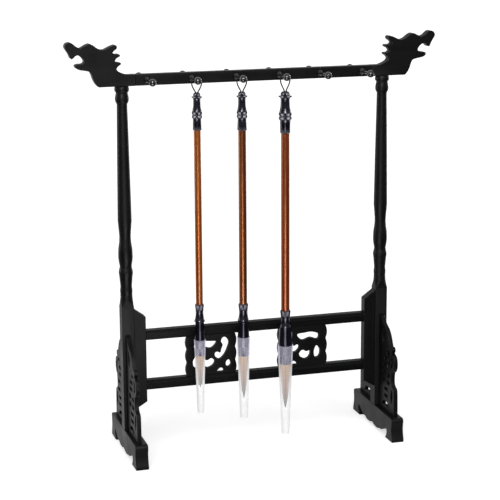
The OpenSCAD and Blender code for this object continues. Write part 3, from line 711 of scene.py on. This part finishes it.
# Hair: heights are parts of its length, and sizes are parts of its radius at the root
STRANDS = 520
STRAND_SIDES = 4
STRAND_LEVELS = [0, 0.1, 0.22, 0.36, 0.5, 0.64, 0.78, 0.9, 1]
GOLDEN_ANGLE = math.radians(137.508)
STRAND_REACH = 0.965
STRAND_SIZE = 1.15
STRAND_SIZES = (0.8, 1.1)
STRAND_SWAY = 0.12
# Strands outside this part of the radius may end early
SHORT_FROM = 0.6
SHORT_ENDS = (0.9, 1.0)
# A strand thins with the tuft, and more over its last part
THINNEST = 0.1
POINT_FROM = 0.8
POINT_LOSS = 0.6
ROOT_INSIDE = 0.5 * MM
CORE_SIDES = 40
CORE_SHARE = 0.9
CORE_ROOT = -0.12
CORE_END = 0.97


def tuft_spread(t):
    """Share of the root's radius that is left at the part t of the hair's length."""
    return 1 - 0.1 * t - 0.8 * t * t


def circle(x, y, z, radius, sides, turn):
    angles = [turn + 2 * math.pi * i / sides for i in range(sides)]
    return [Vector((x + radius * math.cos(a), y + radius * math.sin(a), z)) for a in angles]


def strand_share(t, share):
    """Share of a strand's thickness that is left at the part t of its own length."""
    point = 1 - POINT_LOSS * max(0.0, t - POINT_FROM) / (1 - POINT_FROM)
    return (share * (1 - THINNEST) + THINNEST) * point


def make_tuft(brush, material):
    """Hundreds of fine strands over a slim core, drawn to a point."""
    low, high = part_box(brush + "_tuft")
    ferrule_low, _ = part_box(brush + "_ferrule")
    centre = (low + high) / 2
    radius = (high.x - low.x) / 2
    root = ferrule_low.z
    length = root - low.z
    draw = random.Random(len(brush))
    work = bmesh.new()
    core = []
    for t in [CORE_ROOT] + STRAND_LEVELS[:-1] + [CORE_END]:
        share = tuft_spread(max(t, 0)) * CORE_SHARE
        core.append(circle(centre.x, centre.y, root - t * length, radius * share, CORE_SIDES, 0))
    bridge_rings(work, core)
    for i in range(STRANDS):
        out = math.sqrt((i + 0.5) / STRANDS)
        turn = i * GOLDEN_ANGLE
        reach = radius * STRAND_REACH * out
        thick = radius * STRAND_SIZE / math.sqrt(STRANDS) * draw.uniform(*STRAND_SIZES)
        end = draw.uniform(*SHORT_ENDS) if out > SHORT_FROM else 1.0
        sway = draw.uniform(-STRAND_SWAY, STRAND_SWAY)
        rings = []
        for t in STRAND_LEVELS:
            level = t * end
            share = tuft_spread(level)
            angle = turn + sway * level
            x = centre.x + reach * share * math.cos(angle)
            y = centre.y + reach * share * math.sin(angle)
            z = root + ROOT_INSIDE - level * (length + ROOT_INSIDE)
            rings.append(circle(x, y, z, thick * strand_share(t, share), STRAND_SIDES, angle))
        bridge_rings(work, rings)
    bmesh.ops.recalc_face_normals(work, faces=work.faces)
    mesh_object(brush + "_hair", work, material, brush, brush + "_tuft")


def dress_brushes():
    cord = cord_fibre()
    for brush in BRUSHES:
        make_loop(brush, cord)
    polished = horn()
    for brush in BRUSHES:
        make_finial(brush, polished)
        make_ferrule(brush, polished)
        set_material(brush + "_handle", handle_lacquer(brush + "_lacquer", *HANDLE_TONES[brush]))
        soften(brush + "_handle", 0)
        tuft_low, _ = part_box(brush + "_tuft")
        ferrule_low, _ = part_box(brush + "_ferrule")
        _, cap_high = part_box(brush + "_cap")
        make_tuft(brush, hair(brush + "_hair", ferrule_low.z, tuft_low.z))
        cap = clear_cap(brush + "_clear_cap", cap_high.z, ferrule_low.z, tuft_low.z)
        set_material(brush + "_cap", cap)
        soften(brush + "_cap", 0)


# Floor, card and world
FLOOR_HALF = 30
FLOOR_GREY = 0.85
FLOOR_GLOW = 0.6
WORLD_LIGHT = 0.3
WORLD_GLOW = 0.7
# Black card in front of the object and to its sides, seen only in reflections
CARD_GREY = 0.02
CARD_HEIGHT = 0.5 * MM
CARD_NEAR = -0.1
CARD_REACH = 3.0
CARD_WING = (0.5, 0.35)


def seen_rays(tree, strength):
    """The strength on rays that show the background, and nothing on rays that light the object."""
    path = add_node(tree, "ShaderNodeLightPath")
    either = add_node(tree, "ShaderNodeMath", {"operation": "MAXIMUM"})
    any_of = add_node(tree, "ShaderNodeMath", {"operation": "MAXIMUM"})
    scaled = add_node(tree, "ShaderNodeMath", {"operation": "MULTIPLY"}, {1: strength})
    tree.links.new(path.outputs["Is Camera Ray"], either.inputs[0])
    tree.links.new(path.outputs["Is Glossy Ray"], either.inputs[1])
    tree.links.new(either.outputs[0], any_of.inputs[0])
    tree.links.new(path.outputs["Is Transmission Ray"], any_of.inputs[1])
    tree.links.new(any_of.outputs[0], scaled.inputs[0])
    return scaled.outputs[0]


def matte(name, grey):
    material, tree, shader = new_material(name)
    shader.inputs["Base Color"].default_value = (grey, grey, grey, 1)
    shader.inputs["Roughness"].default_value = 1.0
    shader.inputs["Specular IOR Level"].default_value = 0.0
    return material, tree, shader


def make_floor():
    material, tree, shader = matte("floor_paper", FLOOR_GREY)
    shader.inputs["Emission Color"].default_value = (1, 1, 1, 1)
    tree.links.new(seen_rays(tree, FLOOR_GLOW), shader.inputs["Emission Strength"])
    work = bmesh.new()
    bmesh.ops.create_grid(work, x_segments=1, y_segments=1, size=FLOOR_HALF)
    new_object("floor", new_mesh("floor", work, material))


def make_card():
    """Black card on the floor, which keeps the reflections in gloss black surfaces dark."""
    inner, back = CARD_WING
    half = [(inner, CARD_NEAR), (inner, back), (CARD_REACH, back), (CARD_REACH, -CARD_REACH)]
    outline = half + [(-x, y) for x, y in reversed(half)]
    material, _, _ = matte("black_card", CARD_GREY)
    work = bmesh.new()
    work.faces.new([work.verts.new((x, y, CARD_HEIGHT)) for x, y in outline])
    card = new_object("black_card", new_mesh("black_card", work, material))
    card.visible_camera = False
    card.visible_diffuse = False
    card.visible_transmission = False
    card.visible_shadow = False


def make_world():
    world = bpy.data.worlds.new("studio")
    world.use_nodes = True
    tree = world.node_tree
    background = tree.nodes["Background"]
    background.inputs["Color"].default_value = (1, 1, 1, 1)
    level = add_node(tree, "ShaderNodeMath", {"operation": "ADD"}, {1: WORLD_LIGHT})
    tree.links.new(seen_rays(tree, WORLD_GLOW), level.inputs[0])
    tree.links.new(level.outputs[0], background.inputs["Strength"])
    bpy.context.scene.world = world


# Lamps: a broad soft key lights the object, and the others show only as gloss
KEY_POWER = 1.7
KEY_SPREAD = math.radians(60)
KEY_DIRECTION = Vector((0.25, 0.9, -0.8))
STRIPS = (
    ("left_strip", (-1.15, 0.6, 0.5), 10),
    ("right_strip", (1.15, 0.75, 0.5), 9),
)
STRIP_SIZE = (0.4, 0.95)
# Long lamp on the floor in front, for the streak along the handles
FRONT_DISTANCE = 0.86
FRONT_HEIGHT = 1 * MM
FRONT_SIZE = (0.24, 1.2)
FRONT_POWER = 14
# Small lamp above the camera's line of sight, for the bright spots on the knobs
SPOT_DISTANCE = 1.3
SPOT_HEIGHT = 0.95
SPOT_SIZE = (0.3, 0.3)
SPOT_POWER = 40


def turn_toward(direction):
    return direction.to_track_quat("-Z", "Y").to_euler()


def key_lamp():
    data = bpy.data.lights.new("key", "SUN")
    data.energy = KEY_POWER
    data.angle = KEY_SPREAD
    lamp = new_object("key", data)
    lamp.rotation_euler = turn_toward(KEY_DIRECTION)
    lamp.visible_camera = False


def gloss_lamp(name, place, turn, size, power):
    data = bpy.data.lights.new(name, "AREA")
    data.shape = "RECTANGLE"
    data.size, data.size_y = size
    data.energy = power
    lamp = new_object(name, data)
    lamp.location = place
    lamp.rotation_euler = turn
    lamp.visible_camera = False
    lamp.visible_diffuse = False


def make_lights():
    key_lamp()
    for name, place, power in STRIPS:
        inward = Vector((-place[0], -place[1], 0))
        gloss_lamp(name, place, turn_toward(inward), STRIP_SIZE, power)
    toward = Vector((math.sin(CAMERA_AZIMUTH), -math.cos(CAMERA_AZIMUTH), 0))
    front = toward * FRONT_DISTANCE + Vector((0, 0, FRONT_HEIGHT))
    face_up = (math.pi, 0, CAMERA_AZIMUTH)
    gloss_lamp("front", front, face_up, FRONT_SIZE, FRONT_POWER)
    spot = toward * SPOT_DISTANCE + Vector((0, 0, SPOT_HEIGHT))
    gloss_lamp("camera_side", spot, turn_toward(CAMERA_TARGET - spot), SPOT_SIZE, SPOT_POWER)


make_camera()
dress_brushes()
dress_rack()
make_floor()
make_card()
make_world()
make_lights()
bpy.context.scene.view_settings.view_transform = "Standard"
